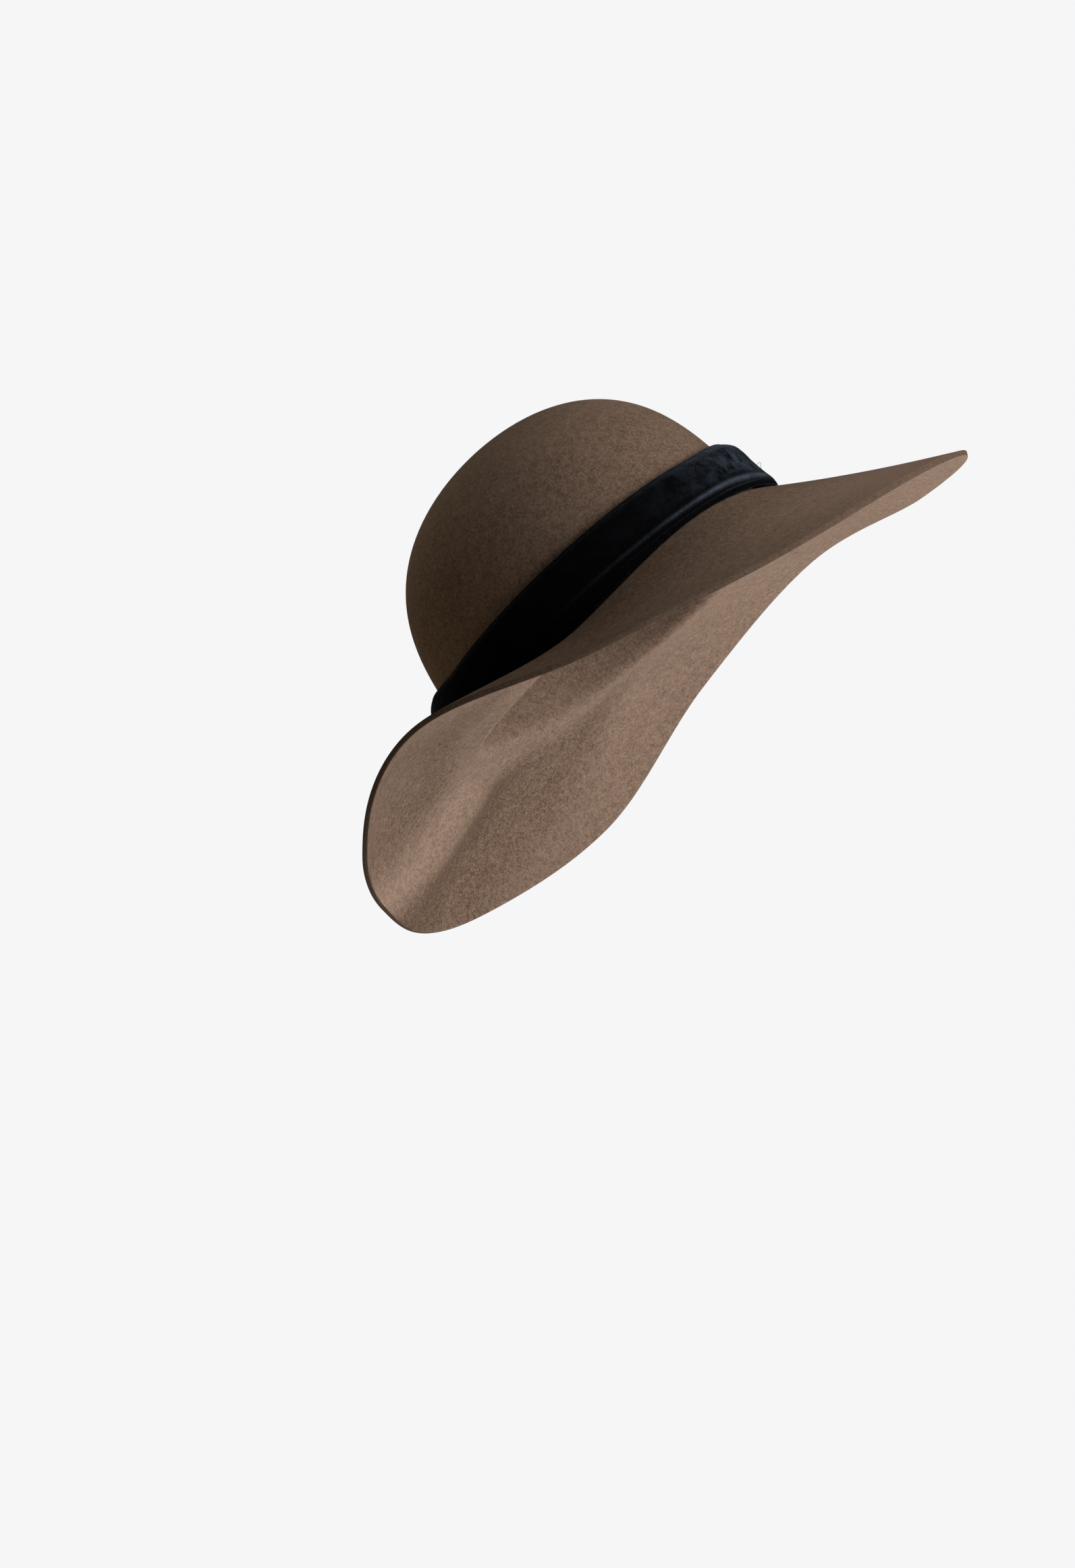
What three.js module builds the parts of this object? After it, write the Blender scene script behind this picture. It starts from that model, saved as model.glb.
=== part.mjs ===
import * as THREE from 'three';

// Floppy hat: one blocked piece of wool felt, crown and wide brim together, and a velvet band.
// Millimetres, +Z up through the crown, the front of the hat faces -Y, the wearer's left is +X.
// The origin is the centre of the head opening, level with the line where crown turns into brim.

// Driving dimensions
const OPENING_LENGTH = 198; // head opening front to back, on the middle of the felt
const OPENING_WIDTH = 166; // head opening side to side, on the middle of the felt
const FELT = 2.6; // thickness of the felt
const CROWN_HEIGHT = 115; // head opening to the top of the crown, on the middle of the felt
const BRIM_WIDTH = 103; // along the felt from the break line to the cut edge
const BREAK_LIFT = 3.5; // the break line rises this much front and back and dips as much at the sides
const BREAK_RADIUS = 6; // how far the rounded turn reaches up the crown and out along the brim
const BAND_TOP = 32; // height of the band's upper edge along the wearer's right side
const BAND_TOP_LEFT = 36; // height of the band's upper edge along the wearer's left side
const BAND_FOOT = 1.5; // height of the band's lower edge above the break line, more where the brim rises
const BAND_DROP = 2.2; // how much lower the band's lower edge lies at the front
const BAND_THICK = 10; // how far the soft, folded band stands off the felt
const CLEARANCE = 0.3; // between the band and the felt

// Shape of the crown: a rounded dome that leans in a little and sits a touch to the back
const DOME_RISE = 3.6; // the higher, the squarer the shoulder
const DOME_ROUND = 2.15; // roundness seen across the crown
const DOME_TAPER = 0.07; // share by which the side walls draw in
const DOME_BACK = 0.5; // how far the top sits behind the opening's centre

// Slope of the brim in degrees below level, where it leaves the crown and at its cut edge.
// Azimuth 0 is the front, positive azimuths go round by the wearer's left.
const BRIM = [
  { azimuth: 0, root: 37, edge: 30 },
  { azimuth: 30, root: 29, edge: 28 },
  { azimuth: 60, root: 17, edge: 19 },
  { azimuth: 90, root: -5, edge: 12 },
  { azimuth: 120, root: -14, edge: 34 },
  { azimuth: 150, root: 4, edge: 57 },
  { azimuth: 180, root: 5, edge: 61 },
  { azimuth: 210, root: -2, edge: 58 },
  { azimuth: 240, root: -24, edge: 42 },
  { azimuth: 270, root: -8, edge: 5 },
  { azimuth: 300, root: 17, edge: 18 },
  { azimuth: 330, root: 34, edge: 28 },
];

// Soft fold in the back of the brim: a ridge pressed in from above that runs out of the
// nape towards the right rear of the edge, steeper on its right than on its left.
const FOLD = {
  depth: 8.5,
  widthBefore: 17,
  widthBehind: 34,
  azimuthAtRoot: 190,
  azimuthAtEdge: 221,
  bend: 1.5,
  leftAtEdge: 0.15,
};

// Rounded shoulder at the right front, where the brim leaves the crown nearly level before it
// droops. Top and end are shares of the brim's width.
const SHOULDER = { lift: 6, azimuth: 333, spread: 30, top: 0.11, end: 0.8 };

// Section of the band's face from its lower edge to its upper edge: height as a share of the
// band's width, out as a share of the band's thickness at the front and at the back. A soft
// ridge runs low round the face, and the upper edge is rounded over.
const BAND_FACE = [
  { height: 0, front: 0.88, back: 0.88 },
  { height: 0.04, front: 1, back: 0.99 },
  { height: 0.15, front: 0.99, back: 1.02 },
  { height: 0.26, front: 0.91, back: 0.97 },
  { height: 0.5, front: 0.91, back: 1 },
  { height: 0.7, front: 0.93, back: 1.04 },
  { height: 0.8, front: 0.86, back: 1 },
  { height: 0.87, front: 0.69, back: 0.92 },
  { height: 0.93, front: 0.48, back: 0.73 },
  { height: 0.985, front: 0.24, back: 0.36 },
  { height: 1, front: 0.04, back: 0.05 },
];

// Mesh density
const AROUND = 72;
const BACK_BIAS = 0.25; // the divisions are closer together at the back than at the front
const CROWN_RINGS = 12;
const TURN_RINGS = 3;
const BRIM_RINGS = 10;

const RAD = Math.PI / 180;
const HALF_LENGTH = OPENING_LENGTH / 2;
const HALF_WIDTH = OPENING_WIDTH / 2;

const mix = (a, b, share) => a + (b - a) * share;

const smooth = (from, to, value) => {
  const share = Math.min(1, Math.max(0, (value - from) / (to - from)));
  return share * share * (3 - 2 * share);
};

const bell = (distance, width) => Math.exp(-((distance / width) ** 2));

// Angle from one azimuth to another, between -180 and 180
const turnFrom = (start, azimuth) => ((((azimuth - start) % 360) + 540) % 360) - 180;

// A value between the brim's sections, carried smoothly round the hat
function aroundBrim(azimuth, key) {
  const count = BRIM.length;
  const place = (((azimuth % 360) + 360) % 360) / (360 / count);
  const index = Math.floor(place);
  const share = place - index;
  const [before, here, next, after] = [-1, 0, 1, 2].map((step) => BRIM[(index + step + count) % count][key]);
  const bend = 2 * before - 5 * here + 4 * next - after;
  const twist = 3 * here - before - 3 * next + after;
  return here + 0.5 * share * (next - before + share * (bend + share * twist));
}

const breakHeight = (azimuth) => BREAK_LIFT * Math.cos(2 * azimuth * RAD);

// Direction straight out of the oval opening at an azimuth
function outward(azimuth) {
  const side = Math.sin(azimuth * RAD) / HALF_WIDTH;
  const front = Math.cos(azimuth * RAD) / HALF_LENGTH;
  return new THREE.Vector3(side, -front, 0).normalize();
}

// Middle of the felt on the crown, rise is 0 at the opening and 1 at the top
function crownPoint(azimuth, rise, drawIn) {
  const reach = drawIn * (1 - DOME_TAPER * rise);
  const x = HALF_WIDTH * Math.sin(azimuth * RAD) * reach;
  const y = -HALF_LENGTH * Math.cos(azimuth * RAD) * reach + DOME_BACK * rise;
  return new THREE.Vector3(x, y, CROWN_HEIGHT * rise);
}

const crownDrawIn = (rise) => (1 - Math.max(0, rise) ** DOME_RISE) ** (1 / DOME_ROUND);

const crownWall = (azimuth, height) => {
  const rise = height / CROWN_HEIGHT;
  return crownPoint(azimuth, rise, crownDrawIn(rise));
};

// How far the fold lifts the felt, negative where it is pressed in
function foldHeight(azimuth, share) {
  const turn = turnFrom(mix(FOLD.azimuthAtRoot, FOLD.azimuthAtEdge, share ** FOLD.bend), azimuth);
  const distance = turn * RAD * (HALF_LENGTH + BRIM_WIDTH * share);
  const width = distance > 0 ? FOLD.widthBefore : FOLD.widthBehind;
  const left = smooth(0.05, 0.35, share) * mix(1, FOLD.leftAtEdge, smooth(0.5, 1, share));
  return -FOLD.depth * left * bell(distance, width);
}

// How far the shoulder lifts the felt
function shoulderHeight(azimuth, share) {
  const rise = smooth(0, SHOULDER.top, share) * (1 - smooth(SHOULDER.top, SHOULDER.end, share));
  return SHOULDER.lift * bell(turnFrom(SHOULDER.azimuth, azimuth), SHOULDER.spread) * rise;
}

// Middle of the felt on the brim, share is 0 at the break line and 1 at the cut edge
function brimPoint(azimuth, share) {
  const root = aroundBrim(azimuth, 'root') * RAD;
  const edge = aroundBrim(azimuth, 'edge') * RAD;
  const halfTurn = ((edge - root) * share) / 2;
  const chord = BRIM_WIDTH * share * (Math.abs(halfTurn) < 1e-6 ? 1 : Math.sin(halfTurn) / halfTurn);
  const out = outward(azimuth);
  const point = crownPoint(azimuth, 0, 1);
  point.addScaledVector(out, chord * Math.cos(root + halfTurn));
  point.z = breakHeight(azimuth) - chord * Math.sin(root + halfTurn);
  const slope = root + 2 * halfTurn;
  const lift = foldHeight(azimuth, share) + shoulderHeight(azimuth, share);
  point.addScaledVector(out, lift * Math.sin(slope));
  point.z += lift * Math.cos(slope);
  return point;
}

// The rounded turn from crown to brim
function turnPoint(azimuth, share) {
  const top = crownWall(azimuth, breakHeight(azimuth) + BREAK_RADIUS);
  const corner = brimPoint(azimuth, 0);
  const foot = brimPoint(azimuth, BREAK_RADIUS / BRIM_WIDTH);
  return top
    .lerp(corner, share)
    .lerp(corner.clone().lerp(foot, share), share);
}

// One line of felt from the top of the crown to the cut edge of the brim, without the very top
function feltLine(azimuth) {
  const line = [];
  const start = Math.asin(((breakHeight(azimuth) + BREAK_RADIUS) / CROWN_HEIGHT) ** (DOME_RISE / 2));
  for (let ring = CROWN_RINGS - 1; ring >= 0; ring -= 1) {
    const angle = mix(start, Math.PI / 2, (ring / CROWN_RINGS) ** 1.2);
    const rise = Math.sin(angle) ** (2 / DOME_RISE);
    line.push(crownPoint(azimuth, rise, Math.cos(angle) ** (2 / DOME_ROUND)));
  }
  for (let ring = 1; ring < TURN_RINGS; ring += 1) line.push(turnPoint(azimuth, ring / TURN_RINGS));
  for (let ring = 0; ring <= BRIM_RINGS; ring += 1) {
    line.push(brimPoint(azimuth, mix(BREAK_RADIUS / BRIM_WIDTH, 1, ring / BRIM_RINGS)));
  }
  return line;
}

const azimuths = Array.from({ length: AROUND }, (_, step) => {
  const turn = (2 * Math.PI * step) / AROUND;
  return (turn + BACK_BIAS * Math.sin(turn)) / RAD;
});

function solid(name, points, faces, material) {
  const geometry = new THREE.BufferGeometry();
  const positions = points.flatMap((point) => [point.x, point.y, point.z]);
  geometry.setAttribute('position', new THREE.Float32BufferAttribute(positions, 3));
  geometry.setIndex(faces.flat());
  geometry.computeVertexNormals();
  const mesh = new THREE.Mesh(geometry, material);
  mesh.name = name;
  return mesh;
}

// The felt: its middle surface moved half a thickness up and half a thickness down, joined at the cut edge
function feltBody() {
  const lines = azimuths.map(feltLine);
  const rings = lines[0].length;
  const top = crownPoint(0, 1, 0);
  const upper = [];
  const lower = [];
  for (let step = 0; step < AROUND; step += 1) {
    for (let ring = 0; ring < rings; ring += 1) {
      const here = lines[step][ring];
      const inner = ring === 0 ? top : lines[step][ring - 1];
      const outer = lines[step][Math.min(rings - 1, ring + 1)];
      const along = outer.clone().sub(inner);
      const across = lines[(step + 1) % AROUND][ring].clone().sub(lines[(step + AROUND - 1) % AROUND][ring]);
      const normal = along.cross(across).normalize();
      upper.push(here.clone().addScaledVector(normal, FELT / 2));
      lower.push(here.clone().addScaledVector(normal, -FELT / 2));
    }
  }
  const sheet = AROUND * rings;
  const points = [...upper, ...lower];
  const upperTop = points.push(new THREE.Vector3(top.x, top.y, top.z + FELT / 2)) - 1;
  const lowerTop = points.push(new THREE.Vector3(top.x, top.y, top.z - FELT / 2)) - 1;
  const faces = [];
  for (let step = 0; step < AROUND; step += 1) {
    const here = step * rings;
    const next = ((step + 1) % AROUND) * rings;
    faces.push([upperTop, here, next], [lowerTop, sheet + next, sheet + here]);
    for (let ring = 0; ring + 1 < rings; ring += 1) {
      const [a, b, c, d] = [here + ring, here + ring + 1, next + ring + 1, next + ring];
      faces.push([a, b, c], [a, c, d]);
      faces.push([sheet + a, sheet + c, sheet + b], [sheet + a, sheet + d, sheet + c]);
    }
    const [a, b] = [here + rings - 1, next + rings - 1];
    faces.push([a, sheet + a, sheet + b], [a, sheet + b, b]);
  }
  const felt = new THREE.MeshStandardMaterial({ color: 0x5e4636, roughness: 0.95 });
  return solid('felt_body', points, faces, felt);
}

const seat = FELT / 2 + CLEARANCE;

// Height of the band's lower edge, clear of the felt under it
function bandFoot(azimuth) {
  let foot = breakHeight(azimuth) + BAND_FOOT - BAND_DROP * bell(turnFrom(5, azimuth), 28);
  const root = aroundBrim(azimuth, 'root') * RAD;
  const wall = crownPoint(azimuth, 0, 1);
  for (let share = 0.04; share < 0.165; share += 0.01) {
    const point = brimPoint(azimuth, share);
    const reach = Math.hypot(point.x - wall.x, point.y - wall.y);
    const overFelt = point.z + FELT / 2 / Math.cos(root) + CLEARANCE;
    if (reach < seat + BAND_THICK + 1) foot = Math.max(foot, overFelt);
  }
  return foot;
}

// Height of the band's upper edge, lower along the wearer's right side
function bandTop(azimuth) {
  const turn = turnFrom(120, azimuth) + 120;
  return mix(BAND_TOP, BAND_TOP_LEFT, smooth(-12, 24, turn) * (1 - smooth(212, 243, turn)));
}

// The velvet band: a closed ring round the foot of the crown, its lower edge just clear of the brim
function velvetBand() {
  const face = BAND_FACE.length;
  const inside = 4;
  const round = face + inside;
  const points = [];
  for (const azimuth of azimuths) {
    const out = outward(azimuth);
    const foot = bandFoot(azimuth);
    const top = bandTop(azimuth);
    const toFront = (0.5 + 0.5 * Math.cos(azimuth * RAD)) ** 2;
    for (const { height, front, back } of BAND_FACE) {
      const point = crownWall(azimuth, mix(foot, top, height));
      points.push(point.addScaledVector(out, seat + BAND_THICK * mix(back, front, toFront)));
    }
    for (let step = 0; step < inside; step += 1) {
      const level = mix(top, breakHeight(azimuth) + BREAK_RADIUS, step / (inside - 1));
      points.push(crownWall(azimuth, level).addScaledVector(out, seat));
    }
  }
  const faces = [];
  for (let step = 0; step < AROUND; step += 1) {
    for (let corner = 0; corner < round; corner += 1) {
      const a = step * round + corner;
      const b = step * round + ((corner + 1) % round);
      const c = ((step + 1) % AROUND) * round + ((corner + 1) % round);
      const d = ((step + 1) % AROUND) * round + corner;
      faces.push([a, c, b], [a, d, c]);
    }
  }
  const velvet = new THREE.MeshStandardMaterial({ color: 0x0c0e12, roughness: 0.9 });
  return solid('velvet_band', points, faces, velvet);
}

const hat = new THREE.Group();
hat.name = 'floppy_hat';
hat.add(feltBody(), velvetBand());

export default hat;
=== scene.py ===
import math

import bpy
import numpy as np
from mathutils import Matrix, Vector


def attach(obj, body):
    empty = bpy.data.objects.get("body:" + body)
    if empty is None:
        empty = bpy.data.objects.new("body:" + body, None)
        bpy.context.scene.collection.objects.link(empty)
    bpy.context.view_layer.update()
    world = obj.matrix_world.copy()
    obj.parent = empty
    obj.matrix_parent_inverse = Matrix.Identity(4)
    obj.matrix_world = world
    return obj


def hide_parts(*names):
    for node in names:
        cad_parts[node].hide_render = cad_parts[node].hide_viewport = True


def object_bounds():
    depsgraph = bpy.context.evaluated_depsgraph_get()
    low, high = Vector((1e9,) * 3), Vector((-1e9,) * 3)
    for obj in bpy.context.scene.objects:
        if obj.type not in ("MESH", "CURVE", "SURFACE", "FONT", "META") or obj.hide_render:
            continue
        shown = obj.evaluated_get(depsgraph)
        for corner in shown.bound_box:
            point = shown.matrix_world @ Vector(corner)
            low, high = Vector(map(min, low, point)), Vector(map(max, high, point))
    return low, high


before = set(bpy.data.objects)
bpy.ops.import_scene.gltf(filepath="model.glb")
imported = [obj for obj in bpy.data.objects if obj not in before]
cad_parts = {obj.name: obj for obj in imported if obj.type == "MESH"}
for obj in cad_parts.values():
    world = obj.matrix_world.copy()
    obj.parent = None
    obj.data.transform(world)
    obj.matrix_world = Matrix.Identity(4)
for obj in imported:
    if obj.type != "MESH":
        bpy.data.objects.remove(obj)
cad_low, cad_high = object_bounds()

# Crown and brim: one hood of brown wool felt, steamed and blocked into a round dome. The brim
# runs out of the crown without a seam and is left soft, and its edge is cut raw.
# Lengths are millimetres, azimuth 0 is the front, and azimuths go round by the wearer's left.
MILLIMETRE = 0.001
OPENING_LENGTH = 198
OPENING_WIDTH = 166
FELT = 2.6
CROWN_HEIGHT = cad_high.z / MILLIMETRE - FELT / 2
BRIM_WIDTH = 103
BREAK_LIFT = 3.5
BREAK_RADIUS = 6
DOME_RISE = 3.6
DOME_ROUND = 2.15
DOME_TAPER = 0.07
DOME_BACK = 0.5
SECTION_STEP = 30
ROOT_SLOPES = np.array([37, 29, 17, -5, -14, 4, 5, -2, -24, -8, 17, 34])
EDGE_SLOPES = np.array([30, 28, 19, 12, 34, 57, 61, 58, 42, 5, 18, 28])
FOLD_DEPTH = 8.5
FOLD_WIDTH_BEFORE = 17
FOLD_WIDTH_BEHIND = 34
FOLD_AZIMUTH_AT_ROOT = 190
FOLD_AZIMUTH_AT_EDGE = 221
FOLD_BEND = 1.5
FOLD_LEFT_AT_EDGE = 0.15
SHOULDER_LIFT = 6
SHOULDER_AZIMUTH = 333
SHOULDER_SPREAD = 30
SHOULDER_TOP = 0.11
SHOULDER_END = 0.8
AROUND = 320
CROWN_RINGS = 46
TURN_RINGS = 8
BRIM_RINGS = 56
CUT_RINGS = 5
CUT_ROUND = 0.35
SUMMIT_PAINTED_LIGHT = 1.3
SUMMIT_HEIGHTS = (60, 114)
HALF_LENGTH = OPENING_LENGTH / 2
HALF_WIDTH = OPENING_WIDTH / 2


def mix(start, end, share):
    return start + (end - start) * share


def smooth(start, end, value):
    share = np.clip((value - start) / (end - start), 0, 1)
    return share * share * (3 - 2 * share)


def bell(distance, width):
    return np.exp(-((distance / width) ** 2))


def unit(vectors):
    return vectors / np.linalg.norm(vectors, axis=-1, keepdims=True)


def turned(azimuth, centre):
    """Degrees round the hat from centre, between -180 and 180."""
    return (azimuth - centre + 180) % 360 - 180


def around_brim(azimuth, slopes):
    """A smooth curve through the slopes, which stand one section step apart."""
    place = (azimuth % 360) / SECTION_STEP
    index = np.floor(place).astype(int)
    share = place - index
    before, here, after, last = (slopes[(index + step) % len(slopes)] for step in (-1, 0, 1, 2))
    bend = 2 * before - 5 * here + 4 * after - last
    twist = 3 * here - before - 3 * after + last
    return here + 0.5 * share * (after - before + share * (bend + share * twist))


def break_height(azimuth):
    return BREAK_LIFT * np.cos(np.radians(2 * azimuth))


def outward(azimuth):
    turn = np.radians(azimuth)
    return unit(np.stack([np.sin(turn) / HALF_WIDTH, -np.cos(turn) / HALF_LENGTH, 0 * turn], -1))


def crown_point(azimuth, rise, draw_in):
    turn = np.radians(azimuth)
    reach = draw_in * (1 - DOME_TAPER * rise)
    x = HALF_WIDTH * np.sin(turn) * reach
    y = -HALF_LENGTH * np.cos(turn) * reach + DOME_BACK * rise
    return np.stack([x, y, CROWN_HEIGHT * rise + 0 * turn], -1)


def crown_wall(azimuth, height):
    rise = height / CROWN_HEIGHT
    return crown_point(azimuth, rise, (1 - np.maximum(0, rise) ** DOME_RISE) ** (1 / DOME_ROUND))


def past_fold(azimuth, share):
    """How far round the brim a point lies past the line of the fold."""
    centre = mix(FOLD_AZIMUTH_AT_ROOT, FOLD_AZIMUTH_AT_EDGE, share**FOLD_BEND)
    return np.radians(turned(azimuth, centre)) * (HALF_LENGTH + BRIM_WIDTH * share)


def fold_height(azimuth, share):
    distance = past_fold(azimuth, share)
    width = np.where(distance > 0, FOLD_WIDTH_BEFORE, FOLD_WIDTH_BEHIND)
    left = smooth(0.05, 0.35, share) * mix(1, FOLD_LEFT_AT_EDGE, smooth(0.5, 1, share))
    return -FOLD_DEPTH * left * bell(distance, width)


def fold_painted_shading(azimuth, share):
    """Painted light and shade under the brim about the fold: above zero for a painted highlight just
    before the fold's line, below zero for painted shade just behind it and farther out on both sides.
    """
    distance = past_fold(azimuth, share)
    ridge = bell(distance - 13, 12)
    valley = bell(distance + 29, 25)
    beyond = smooth(26, 56, distance) * (1 - smooth(150, 220, distance))
    before = smooth(30, 60, -distance) * (1 - smooth(110, 190, -distance))
    painted = 0.9 * ridge - 1.5 * valley - 0.9 * beyond - 0.8 * before
    return painted * smooth(0.1, 0.3, share)


def front_painted_light(azimuth, share):
    """Painted light under the brim, toward its front edge."""
    return 0.9 * bell(turned(azimuth, 12), 50) * smooth(0.1, 0.6, share)


def top_painted_shading(azimuth, share):
    """Painted light and shade on top of the brim: painted light toward its front edge and painted shade
    on its right side.
    """
    pale = bell(turned(azimuth, 0), 40) * smooth(0.2, 0.8, share)
    dark = bell(turned(azimuth, -72), 34) * smooth(0.05, 0.25, share)
    return 1.8 * pale - 1.1 * dark


def shoulder_height(azimuth, share):
    rise = smooth(0, SHOULDER_TOP, share) * (1 - smooth(SHOULDER_TOP, SHOULDER_END, share))
    return SHOULDER_LIFT * bell(turned(azimuth, SHOULDER_AZIMUTH), SHOULDER_SPREAD) * rise


def brim_point(azimuth, share):
    root = np.radians(around_brim(azimuth, ROOT_SLOPES))
    slope = mix(root, np.radians(around_brim(azimuth, EDGE_SLOPES)), share)
    half_turn = (slope - root) / 2
    chord = BRIM_WIDTH * share * np.sinc(half_turn / math.pi)
    lift = fold_height(azimuth, share) + shoulder_height(azimuth, share)
    out = chord * np.cos(root + half_turn) + lift * np.sin(slope)
    point = crown_point(azimuth, 0, 1) + outward(azimuth) * out[:, None]
    point[:, 2] = break_height(azimuth) - chord * np.sin(root + half_turn) + lift * np.cos(slope)
    return point


def turn_point(azimuth, share):
    """The rounded turn between the crown's wall and the brim."""
    top = crown_wall(azimuth, break_height(azimuth) + BREAK_RADIUS)
    corner = brim_point(azimuth, 0)
    foot = brim_point(azimuth, BREAK_RADIUS / BRIM_WIDTH)
    return mix(mix(top, corner, share), mix(corner, foot, share), share)


def felt_middle(azimuth):
    """Rings of points from the summit to the brim's edge, midway through the felt."""
    start = np.arcsin(((break_height(azimuth) + BREAK_RADIUS) / CROWN_HEIGHT) ** (DOME_RISE / 2))
    rings = []
    for ring in range(CROWN_RINGS - 1, -1, -1):
        angle = mix(start, math.pi / 2, (ring / CROWN_RINGS) ** 1.2)
        rise = np.sin(angle) ** (2 / DOME_RISE)
        draw_in = np.cos(angle) ** (2 / DOME_ROUND)
        rings.append(crown_point(azimuth, rise, draw_in))
    for ring in range(1, TURN_RINGS):
        rings.append(turn_point(azimuth, ring / TURN_RINGS))
    for ring in range(BRIM_RINGS + 1):
        rings.append(brim_point(azimuth, mix(BREAK_RADIUS / BRIM_WIDTH, 1, ring / BRIM_RINGS)))
    return np.array(rings)


def skin(name, rings, poles=()):
    """A closed mesh over rings of points. Two poles close its ends.

    Without poles the last ring meets the first.
    """
    count, around = rings.shape[:2]
    points = np.concatenate([rings.reshape(-1, 3), *[np.reshape(pole, (1, 3)) for pole in poles]])
    faces = []
    for ring in range(count - 1 if len(poles) else count):
        here, below = ring * around, (ring + 1) % count * around
        for step in range(around):
            after = (step + 1) % around
            faces.append((here + step, below + step, below + after, here + after))
    for step in range(around if len(poles) else 0):
        after = (step + 1) % around
        first, last = count * around, (count - 1) * around
        faces.append((first, step, after))
        faces.append((first + 1, last + after, last + step))
    mesh = bpy.data.meshes.new(name)
    mesh.from_pydata((points * MILLIMETRE).tolist(), [], faces)
    mesh.shade_smooth()
    made = bpy.data.objects.new(name, mesh)
    bpy.context.scene.collection.objects.link(made)
    return made


def mark(piece, name, values):
    """Stores a value at each point of a piece for its material to read."""
    attribute = piece.data.attributes.new(name, "FLOAT", "POINT")
    attribute.data.foreach_set("value", np.asarray(values, np.float32).ravel())


azimuths = np.arange(AROUND) * 360 / AROUND
middle = felt_middle(azimuths)
inner = np.concatenate([np.broadcast_to(crown_point(0.0, 1, 0), middle[:1].shape), middle[:-1]])
outer = np.concatenate([middle[1:], middle[-1:]])
across = np.roll(middle, -1, 1) - np.roll(middle, 1, 1)
normal = unit(np.cross(outer - inner, across))
upper = middle + normal * FELT / 2
lower = middle - normal * FELT / 2
edge_out = unit(middle[-1] - middle[-2])
cut = []
for ring in range(1, CUT_RINGS + 1):
    turn = math.pi * ring / (CUT_RINGS + 1)
    level = math.copysign(abs(math.cos(turn)) ** 0.6, math.cos(turn))
    cut.append(middle[-1] + normal[-1] * level * FELT / 2 + edge_out * CUT_ROUND * math.sin(turn) ** 0.6)
summit = crown_point(0.0, 1, 0)
half = np.array([0, 0, FELT / 2])
felt_rings = np.concatenate([upper, np.array(cut), lower[::-1]])
hat = skin("felt_hat", felt_rings, (summit + half, summit - half))
cut_share = np.concatenate([np.zeros(len(upper)), np.ones(CUT_RINGS), np.zeros(len(lower))])
mark(hat, "cut", np.append(np.repeat(cut_share, AROUND), [0, 0]))
top_share = np.concatenate([np.ones(len(upper)), np.zeros(CUT_RINGS + len(lower))])
mark(hat, "outside", np.append(np.repeat(top_share, AROUND), [1, 0]))
brim_shares = mix(BREAK_RADIUS / BRIM_WIDTH, 1, np.arange(BRIM_RINGS + 1) / BRIM_RINGS)
ring_shares = np.concatenate([np.zeros(CROWN_RINGS + TURN_RINGS - 1), brim_shares])
# Painted light and shade for each ring, under the brim and on top of it.
below_painted_shading = np.array([fold_painted_shading(azimuths, share) + front_painted_light(azimuths, share) for share in ring_shares])
above_painted_shading = np.array([top_painted_shading(azimuths, share) for share in ring_shares])
# The crown's top is painted paler: painted light.
above_painted_shading = above_painted_shading + SUMMIT_PAINTED_LIGHT * smooth(*SUMMIT_HEIGHTS, middle[:, :, 2])
rubbed = np.concatenate([above_painted_shading, np.zeros((CUT_RINGS, AROUND)), below_painted_shading[::-1]])
mark(hat, "rubbed", np.append(rubbed.ravel(), [SUMMIT_PAINTED_LIGHT, 0]))


class Shade:
    """A value or colour in a material, so that shader maths is written as Python expressions."""

    def __init__(self, tree, socket=None):
        self.tree = tree
        self.socket = socket

    def node(self, kind, settings=None, inputs=None, output=0):
        made = self.tree.nodes.new("ShaderNode" + kind)
        for name, value in (settings or {}).items():
            if name == "stops":
                elements = made.color_ramp.elements
                while len(elements) < len(value):
                    elements.new(1)
                for element, (place, level) in zip(elements, value):
                    element.position = place
                    element.color = (level, level, level, 1)
            else:
                setattr(made, name, value)
        for name, value in (inputs or {}).items():
            if isinstance(value, Shade):
                self.tree.links.new(value.socket, made.inputs[name])
            else:
                made.inputs[name].default_value = value
        return Shade(self.tree, made.outputs[output] if output is not None else None)

    def maths(self, operation, first, second):
        return self.node("Math", {"operation": operation}, {0: first, 1: second})

    def __add__(self, other):
        return self.maths("ADD", self, other)

    def __radd__(self, other):
        return self.maths("ADD", other, self)

    def __sub__(self, other):
        return self.maths("SUBTRACT", self, other)

    def __rsub__(self, other):
        return self.maths("SUBTRACT", other, self)

    def __mul__(self, other):
        return self.maths("MULTIPLY", self, other)

    def __rmul__(self, other):
        return self.maths("MULTIPLY", other, self)


def noise(place, size, detail, rough=0.5, distortion=0.0):
    """Soft cloudy noise whose lumps are about size across."""
    return place.node("TexNoise", {}, {
        "Vector": place,
        "Scale": 1 / (size * MILLIMETRE),
        "Detail": detail,
        "Roughness": rough,
        "Distortion": distortion,
    })


def colour_mix(share, first, second):
    return share.node("Mix", {"data_type": "RGBA"}, {0: share, 6: first, 7: second}, output=2)


def new_material(name):
    made = bpy.data.materials.new(name)
    made.use_nodes = True
    made.node_tree.nodes.clear()
    return made, Shade(made.node_tree)


DENT_START = (245.0, 0.362)
DENT_END = (250.7, 0.385)
DENT_HALF_SIZE = np.array([5.2, 1.4, 1.6])
DENT_STEP_OUT = 0.05
dent_from = brim_point(np.array([DENT_START[0]]), DENT_START[1])[0]
dent_to = brim_point(np.array([DENT_END[0]]), DENT_END[1])[0]
further_out = brim_point(np.array([DENT_START[0]]), DENT_START[1] + DENT_STEP_OUT)[0]
dent_ahead = unit(dent_to - dent_from)
dent_down = unit(np.cross(dent_ahead, further_out - dent_from))
dent_down = -dent_down * np.sign(dent_down[2])
dent_place = ((dent_from + dent_to) / 2 + dent_down * FELT / 2) * MILLIMETRE
dent_turn = Matrix((dent_ahead, np.cross(dent_down, dent_ahead), dent_down)).transposed().to_euler()

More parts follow.
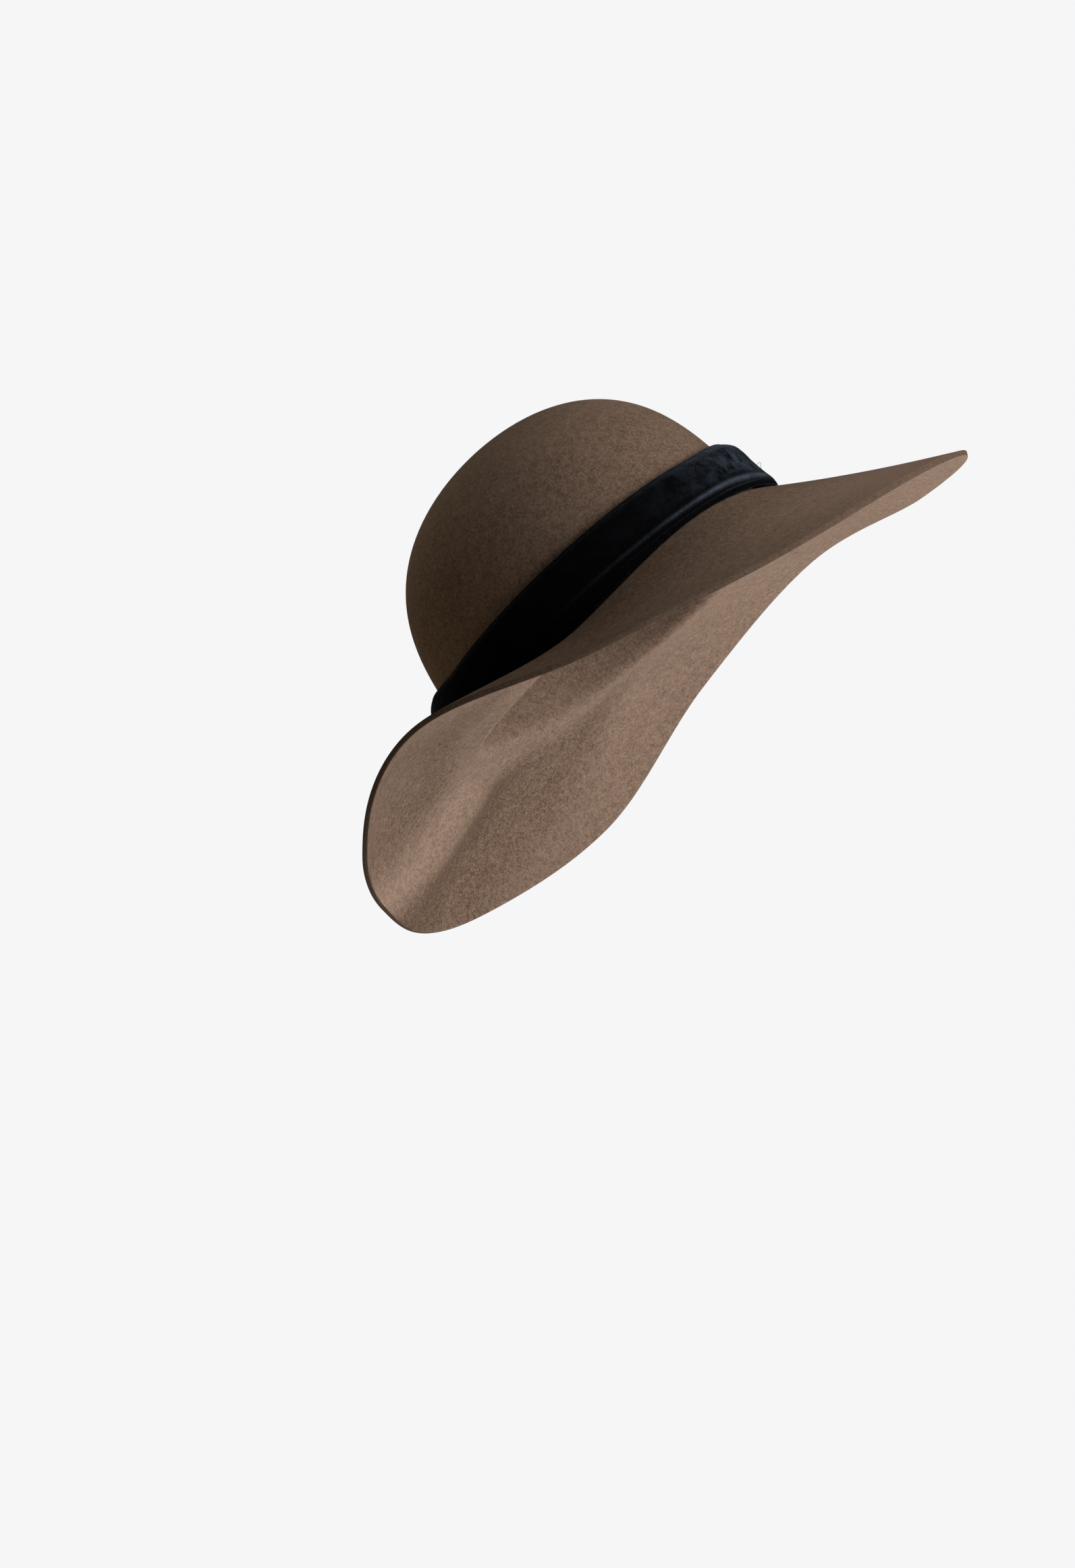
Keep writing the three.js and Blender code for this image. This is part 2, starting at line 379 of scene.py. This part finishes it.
DENT_PAINTED_SHADE = (0.03, 0.017, 0.018, 1)
FELT_DARK = (0.085, 0.053, 0.034, 1)
FELT_LIGHT = (0.32, 0.228, 0.17, 1)
FELT_CUT = (0.05, 0.034, 0.023, 1)
OUTSIDE_PAINTED_SHADE = (0.7, 0.69, 0.68, 1)
# Strength of the painted light and shade in the felt's tone.
PAINTED_SHADING_STRENGTH = 0.28
FIBRE_TURNS = ((0.4, 0.9, 0.2), (1.3, 0.3, 2.1), (2.2, 1.7, 0.9))
FIBRE_STRETCH = (1, 1, 0.12)
NAP_RELIEF = 0.4

felt, shade = new_material("brown wool felt")
place = shade.node("TexCoord", output="Object")
grain = noise(place, 1.2, 4, 0.75, 0.3)
grain = shade.node("ValToRGB", {"stops": ((0.38, 0), (0.62, 1))}, {"Fac": grain})
tufts = noise(place, 3.5, 3, 0.6, 0.6)
tufts = shade.node("ValToRGB", {"stops": ((0.36, 0), (0.64, 1))}, {"Fac": tufts})
clouds = noise(place, 30, 3)
fibres = None
for turn in FIBRE_TURNS:
    laid = shade.node("Mapping", {}, {"Vector": place, "Rotation": turn, "Scale": FIBRE_STRETCH})
    strand = noise(laid, 0.5, 2, 0.5, 1.2)
    strand = shade.node("ValToRGB", {"stops": ((0.56, 0), (0.68, 1))}, {"Fac": strand})
    fibres = strand if fibres is None else fibres.maths("MAXIMUM", fibres, strand)
# The felt's tone takes the painted light and shade stored with the mesh.
rubbed = shade.node("Attribute", {"attribute_name": "rubbed"}, output="Fac")
tone = 0.5 * grain + 0.22 * tufts + 0.2 * clouds + 0.08 * fibres + PAINTED_SHADING_STRENGTH * rubbed
colour = colour_mix(tone, FELT_DARK, FELT_LIGHT)
outside = shade.node("Attribute", {"attribute_name": "outside"}, output="Fac")
multiply = {"data_type": "RGBA", "blend_type": "MULTIPLY"}
# The felt's outer side is multiplied darker than its underside: painted shade.
painted_outer_shade = shade.node("Mix", multiply, {0: 1, 6: colour, 7: OUTSIDE_PAINTED_SHADE}, output=2)
colour = colour_mix(outside, colour, painted_outer_shade)
raw = shade.node("Attribute", {"attribute_name": "cut"}, output="Fac")
colour = colour_mix(raw * (0.6 + 0.4 * grain), colour, FELT_CUT)
near_dent = shade.node("Mapping", {"vector_type": "TEXTURE"}, {
    "Vector": place, "Location": dent_place, "Rotation": dent_turn, "Scale": DENT_HALF_SIZE * MILLIMETRE})
far_from_dent = shade.node("VectorMath", {"operation": "LENGTH"}, {0: near_dent}, output="Value")
dent = 1 - shade.node("MapRange", {"interpolation_type": "SMOOTHSTEP"}, {"Value": far_from_dent})
# The dent is also painted dark: painted shade in its crease.
colour = colour_mix(dent * (0.6 + 0.4 * grain), colour, DENT_PAINTED_SHADE)
relief = 0.5 * grain + 0.3 * fibres + 0.25 * tufts - 1.5 * dent
nap = NAP_RELIEF * MILLIMETRE
bump = shade.node("Bump", {}, {"Strength": 0.5, "Distance": nap, "Height": relief})
surface = shade.node("BsdfPrincipled", {}, {
    "Base Color": colour,
    "Roughness": 0.96,
    "Specular IOR Level": 0.06,
    "Sheen Weight": 0.05,
    "Sheen Roughness": 0.35,
    "Sheen Tint": (0.86, 0.72, 0.6, 1),
    "Normal": bump,
})
shade.node("OutputMaterial", {}, {"Surface": surface}, output=None)
hat.data.materials.append(felt)
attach(hat, "root")
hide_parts("felt_body")

# Band: a strip of black velvet laid in soft layers round the foot of the crown. It stands well off
# the felt, one fold runs low round its face, and its lower edge lies just clear of the brim.
BAND_TOP = 32
BAND_TOP_LEFT = 36
LEFT_SIDE_START = (-12, 24)
LEFT_SIDE_END = (225, 250)
BAND_FOOT = 1.5
BAND_DROP = 3.8
BAND_DROP_AZIMUTH = 8
BAND_DROP_SPREAD = 26
BAND_THICK = 10
CLEARANCE = 0.3
BAND_RINGS = 96
BAND_BACK_RINGS = 8
RIDGE_HEIGHT = 8.9
RIDGE_HEIGHT_FRONT = 6.2
RIDGE_RISE = 0.45
RIDGE_WIDTH = 1.5
CREASE_BELOW = 2.5
CREASE_DEPTH = 1.5
CREASE_WIDTH = 1.2
WAVE = 0.35
SMALL_WAVE = 0.2
FACE_HEIGHTS = np.array([0, 0.04, 0.15, 0.26, 0.5, 0.7, 0.8, 0.87, 0.93, 0.985, 1])
FACE_OUT_FRONT = np.array([0.88, 1.0, 0.95, 0.91, 0.91, 0.93, 0.86, 0.69, 0.48, 0.24, 0.04])
FACE_OUT_BACK = np.array([0.88, 0.99, 0.98, 0.97, 1.0, 1.04, 1.0, 0.92, 0.73, 0.36, 0.05])


def face_out(share, out):
    """How far the band's face stands out at a share of its height, as a share of its thickness."""
    knots = np.searchsorted(FACE_HEIGHTS, share, "right").clip(1, len(FACE_HEIGHTS) - 1)
    heights = FACE_HEIGHTS
    slopes = np.gradient(out, heights)
    width = heights[knots] - heights[knots - 1]
    part = (share - heights[knots - 1]) / width
    start, end = out[knots - 1], out[knots]
    rise, fall = slopes[knots - 1] * width, slopes[knots] * width
    curve = (2 * part**3 - 3 * part**2 + 1) * start + (part**3 - 2 * part**2 + part) * rise
    return curve + (3 * part**2 - 2 * part**3) * end + (part**3 - part**2) * fall


seat = FELT / 2 + CLEARANCE
inner_level = break_height(azimuths) + BREAK_RADIUS


def band_foot(azimuth):
    """The band's lower edge, raised wherever the brim under the band would touch it."""
    foot = break_height(azimuth) + BAND_FOOT
    foot = foot - BAND_DROP * bell(turned(azimuth, BAND_DROP_AZIMUTH), BAND_DROP_SPREAD)
    root = np.radians(around_brim(azimuth, ROOT_SLOPES))
    for share in np.linspace(0.05, 0.16, 12):
        point = brim_point(azimuth, share)
        reach = np.linalg.norm((point - crown_point(azimuth, 0, 1))[:, :2], axis=1)
        over_felt = point[:, 2] + FELT / 2 / np.cos(root) + CLEARANCE
        across = np.clip((reach - seat) / BAND_THICK, 0.2, 1)
        clear_foot = inner_level + (over_felt - inner_level) / across
        under_band = reach < seat + BAND_THICK + 1
        foot = np.where(under_band, np.maximum(foot, clear_foot), foot)
    return foot


foot = band_foot(azimuths)
out = outward(azimuths)
turn = turned(azimuths, 0)
fold_left = mix(0.15, 1, bell(turn + 35, 45))
ridge_height = mix(RIDGE_HEIGHT, RIDGE_HEIGHT_FRONT, smooth(-10, 20, turn))
front = (0.5 + 0.5 * np.cos(np.radians(azimuths))) ** 2
from_right = (azimuths + 60) % 360 - 60
on_left = smooth(*LEFT_SIDE_START, from_right) * (1 - smooth(*LEFT_SIDE_END, from_right))
top = mix(BAND_TOP, BAND_TOP_LEFT, on_left)
band_rings = []
crest = []
painted_sheen_share = []
for ring in range(BAND_RINGS):
    share = math.sin(math.pi / 2 * ring / (BAND_RINGS - 1))
    height = mix(foot, top, share)
    wave = WAVE * np.sin(np.radians(3 * azimuths) + 5 * share)
    wave = wave + SMALL_WAVE * np.sin(np.radians(7 * azimuths) - 7 * share)
    face = mix(face_out(share, FACE_OUT_BACK), face_out(share, FACE_OUT_FRONT), front)
    stand = BAND_THICK * face + wave * smooth(0, 0.2, share) * (1 - smooth(0.75, 1, share))
    over_ridge = height - ridge_height
    ridge = bell(over_ridge, RIDGE_WIDTH)
    crease = bell(over_ridge + CREASE_BELOW, CREASE_WIDTH)
    stand = stand + fold_left * (RIDGE_RISE * ridge - CREASE_DEPTH * crease)
    band_rings.append(crown_wall(azimuths, height) + out * (seat + stand)[:, None])
    # A painted highlight along the fold's crest, brightest toward the front.
    crest_width = mix(0.9, 1.7, smooth(-25, 12, turn))
    crest.append(bell(over_ridge - 0.2, crest_width) * bell(turn - 2, 42))
    # A painted sheen on the front of the band's face, above the fold.
    painted_sheen_share.append(bell(turn - 14, 27) * smooth(1.6, 5.5, over_ridge))
for ring in range(BAND_BACK_RINGS):
    height = mix(top, inner_level, ring / (BAND_BACK_RINGS - 1))
    band_rings.append(crown_wall(azimuths, height) + out * seat)
    crest.append(0 * azimuths)
    painted_sheen_share.append(0 * azimuths)
band = skin("velvet_sash", np.array(band_rings)[::-1])
mark(band, "crest", np.array(crest)[::-1])
mark(band, "brushed", np.array(painted_sheen_share)[::-1])

VELVET_DARK = (0.002, 0.0021, 0.0024, 1)
VELVET_PAINTED_SHEEN = (0.042, 0.057, 0.08, 1)
VELVET_CREST_HIGHLIGHT = (0.068, 0.087, 0.115, 1)

velvet, shade = new_material("black velvet")
place = shade.node("TexCoord", output="Object")
pile = noise(place, 0.8, 2, 0.7)
pile = shade.node("ValToRGB", {"stops": ((0.4, 0), (0.62, 1))}, {"Fac": pile})
patches = noise(place, 7, 4, 0.65, 0.5)
patches = shade.node("ValToRGB", {"stops": ((0.36, 0), (0.66, 1))}, {"Fac": patches})
# The painted sheen lightens the velvet's front toward blue-grey.
brushed = shade.node("Attribute", {"attribute_name": "brushed"}, output="Fac")
brushed = (0.04 + 0.96 * brushed) * patches * (0.35 + 0.65 * pile)
colour = colour_mix(brushed, VELVET_DARK, VELVET_PAINTED_SHEEN)
# The painted highlight along the crest.
on_crest = shade.node("Attribute", {"attribute_name": "crest"}, output="Fac")
colour = colour_mix(on_crest * (0.25 + 0.4 * pile + 0.35 * patches), colour, VELVET_CREST_HIGHLIGHT)
bump = shade.node("Bump", {}, {"Strength": 0.5, "Distance": nap, "Height": 0.6 * pile + 0.6 * patches})
surface = shade.node("BsdfPrincipled", {}, {
    "Base Color": colour,
    "Roughness": 0.95,
    "Specular IOR Level": 0.01,
    "Sheen Weight": 0.16,
    "Sheen Roughness": 0.22,
    "Sheen Tint": (0.5, 0.6, 0.78, 1),
    "Normal": bump,
})
shade.node("OutputMaterial", {}, {"Surface": surface}, output=None)
band.data.materials.append(velvet)
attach(band, "root")
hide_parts("velvet_band")

# Thread: a loose loop of fine pale sewing thread that stands out of the band's front. Its two
# ends are caught in the pile.
THREAD_RADIUS = 0.11
THREAD_STEPS = 15
THREAD_SMOOTHING = 90
THREAD_SIDES = 8
THREAD_AZIMUTH = 21
THREAD_HEIGHT = 13.9
THREAD_REACH = 0.91
THREAD_ROUTE = np.array([
    (-0.6, 0.4, -0.4), (-0.2, 0.6, 0.3), (0.6, 0.9, 0.9), (1.2, 1.1, 1.5),
    (1.4, 0.6, 2.1), (0.9, 0.0, 2.0), (0.5, -0.5, 1.4), (0.8, -1.0, 0.9),
    (1.4, -1.5, 0.7), (1.7, -2.1, 0.3), (1.4, -2.5, -0.4),
])

azimuth = np.array([float(THREAD_AZIMUTH)])
away = outward(azimuth)[0]
along = np.cross([0, 0, 1], away)
start = crown_wall(azimuth, THREAD_HEIGHT)[0] + away * (seat + THREAD_REACH * BAND_THICK)
knots = start + THREAD_ROUTE @ np.array([along, [0, 0, 1], away])
spots = np.linspace(0, len(knots) - 1, THREAD_STEPS * len(knots))
path = np.stack([np.interp(spots, np.arange(len(knots)), knots[:, axis]) for axis in range(3)], -1)
for _ in range(THREAD_SMOOTHING):
    path[1:-1] = (path[:-2] + 2 * path[1:-1] + path[2:]) / 4
ahead = unit(np.gradient(path, axis=0))
side = unit(np.cross(ahead, [0.3, 0.5, 0.8]))
over = np.cross(ahead, side)
angles = np.arange(THREAD_SIDES) * 2 * math.pi / THREAD_SIDES
thread_rings = path[:, None] + THREAD_RADIUS * (
    np.cos(angles)[:, None] * side[:, None] + np.sin(angles)[:, None] * over[:, None])
thread = skin("loose_thread", thread_rings, (path[0], path[-1]))

THREAD_DARK = (0.12, 0.07, 0.06, 1)
THREAD_PALE = (0.3, 0.24, 0.2, 1)
COTTON_RELIEF = 0.1

cotton, shade = new_material("pale thread")
place = shade.node("TexCoord", output="Object")
twist = noise(place, 0.4, 2)
colour = colour_mix(twist, THREAD_DARK, THREAD_PALE)
relief = COTTON_RELIEF * MILLIMETRE
bump = shade.node("Bump", {}, {"Strength": 0.4, "Distance": relief, "Height": twist})
surface = shade.node("BsdfPrincipled", {}, {"Base Color": colour, "Roughness": 0.8, "Normal": bump})
shade.node("OutputMaterial", {}, {"Surface": surface}, output=None)
thread.data.materials.append(cotton)
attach(thread, "root")

# Camera: it looks up at the hat from its right front, and is rolled so that the level hat tips back
# in the picture. Pixels are the photograph's, distances metres, the sensor's width millimetres.
CAMERA_AZIMUTH = math.radians(-56)
CAMERA_ELEVATION = math.radians(-10.6)
CAMERA_ROLL = math.radians(-40.5)
CAMERA_DISTANCE = 1.4
PHOTO_WIDTH = 1593
PHOTO_HEIGHT = 2324
PIXELS_PER_METRE = 2930
OPENING_CENTRE_PIXEL = (924.3, 935.6)
SENSOR = 36

back = Vector((
    math.sin(CAMERA_AZIMUTH) * math.cos(CAMERA_ELEVATION),
    -math.cos(CAMERA_AZIMUTH) * math.cos(CAMERA_ELEVATION),
    math.sin(CAMERA_ELEVATION),
))
level_right = Vector((0, 0, 1)).cross(back).normalized()
level_up = back.cross(level_right)
picture_right = math.cos(CAMERA_ROLL) * level_right + math.sin(CAMERA_ROLL) * level_up
picture_up = back.cross(picture_right)
eye = back * CAMERA_DISTANCE
aim = (picture_right * (PHOTO_WIDTH / 2 - OPENING_CENTRE_PIXEL[0])
       + picture_up * (OPENING_CENTRE_PIXEL[1] - PHOTO_HEIGHT / 2)) / PIXELS_PER_METRE
camera_z = (eye - aim).normalized()
camera_y = camera_z.cross(picture_right).normalized()
camera_x = camera_y.cross(camera_z)
camera_data = bpy.data.cameras.new("camera")
camera_data.sensor_width = SENSOR
camera_data.lens = SENSOR * PIXELS_PER_METRE * CAMERA_DISTANCE / PHOTO_HEIGHT
camera = bpy.data.objects.new("camera", camera_data)
camera_turn = Matrix((camera_x, camera_y, camera_z)).transposed().to_4x4()
camera.matrix_world = Matrix.Translation(eye) @ camera_turn
bpy.context.scene.collection.objects.link(camera)
bpy.context.scene.camera = camera

# Light: a soft window and a lamp close by on the right, so that the hat darkens away from them, and
# soft fill from above, from the left, from below and from beyond the hat.
# Directions are given in the picture: right, up and towards the camera. Sizes are metres.
LIGHTS = (
    {"name": "window", "toward": (1, 0, 1), "away": 0.85,
     "size": 0.8, "watts": 5.6, "colour": (0.94, 0.95, 1)},
    {"name": "lamp", "toward": (1, 0.5, 0.6), "away": 0.85,
     "size": 0.8, "watts": 6.8, "colour": (1, 0.93, 0.88)},
    {"name": "above", "toward": (-0.45, 0.9, -0.1), "away": 1.6,
     "size": 1.1, "watts": 6.5, "colour": (1, 0.94, 0.84)},
    {"name": "left", "toward": (-1, -1, 0), "away": 1.6,
     "size": 1.1, "watts": 5.4, "colour": (1, 0.78, 0.5)},
    {"name": "below", "toward": (0, -1, -1), "away": 1.6,
     "size": 1.1, "watts": 11.4, "colour": (0.95, 0.87, 0.8)},
    {"name": "far_side", "toward": (1, -1, -0.7), "away": 1,
     "size": 0.8, "watts": 7.6, "colour": (0.95, 0.93, 0.93)},
)
for light in LIGHTS:
    data = bpy.data.lights.new(light["name"], "AREA")
    data.shape = "DISK"
    data.size = light["size"]
    data.energy = light["watts"]
    data.color = light["colour"]
    right, up, near = light["toward"]
    direction = (right * picture_right + up * picture_up + near * back).normalized()
    fitting = bpy.data.objects.new(light["name"], data)
    fitting.location = direction * light["away"]
    fitting.rotation_mode = "QUATERNION"
    fitting.rotation_quaternion = direction.to_track_quat("Z", "Y")
    bpy.context.scene.collection.objects.link(fitting)

# Room: a plain pale floor well below the hat, which fades into an even pale backdrop.
# Lengths are metres.
FLOOR_LEVEL = -1.7
FLOOR_RADIUS = 6
FLOOR_SIDES = 96
FADE_START = 0.25
FADE_END = 0.98
FLOOR_COLOUR = (0.8, 0.8, 0.81, 1)
ROOM_LIGHT = (1, 0.93, 0.86, 1)
ROOM_STRENGTH = 0.06
BACKDROP = (0.97, 0.97, 0.98, 1)
BACKDROP_STRENGTH = 0.95

floor_place = (0, 0, FLOOR_LEVEL)
bpy.ops.mesh.primitive_circle_add(
    vertices=FLOOR_SIDES, radius=FLOOR_RADIUS, fill_type="NGON", location=floor_place)
floor = bpy.context.object
floor.name = "floor"
paper, shade = new_material("pale floor")
place = shade.node("TexCoord", output="Object")
distance = shade.node("VectorMath", {"operation": "LENGTH"}, {0: place}, output="Value")
fade = shade.node("MapRange", {"interpolation_type": "SMOOTHSTEP"}, {
    "Value": distance, "From Min": FADE_START * FLOOR_RADIUS, "From Max": FADE_END * FLOOR_RADIUS})
matt = shade.node("BsdfPrincipled", {}, {
    "Base Color": FLOOR_COLOUR,
    "Roughness": 0.9,
    "Specular IOR Level": 0.1,
})
clear = shade.node("BsdfTransparent")
surface = shade.node("MixShader", {}, {0: fade, 1: matt, 2: clear})
shade.node("OutputMaterial", {}, {"Surface": surface}, output=None)
floor.data.materials.append(paper)

world = bpy.data.worlds.new("room")
world.use_nodes = True
world.node_tree.nodes.clear()
shade = Shade(world.node_tree)
seen = shade.node("LightPath", output="Is Camera Ray")
glow = shade.node("Background", {}, {"Color": ROOM_LIGHT, "Strength": ROOM_STRENGTH})
backdrop = shade.node("Background", {}, {"Color": BACKDROP, "Strength": BACKDROP_STRENGTH})
surface = shade.node("MixShader", {}, {0: seen, 1: glow, 2: backdrop})
shade.node("OutputWorld", {}, {"Surface": surface}, output=None)
bpy.context.scene.world = world
bpy.context.scene.view_settings.view_transform = "Standard"
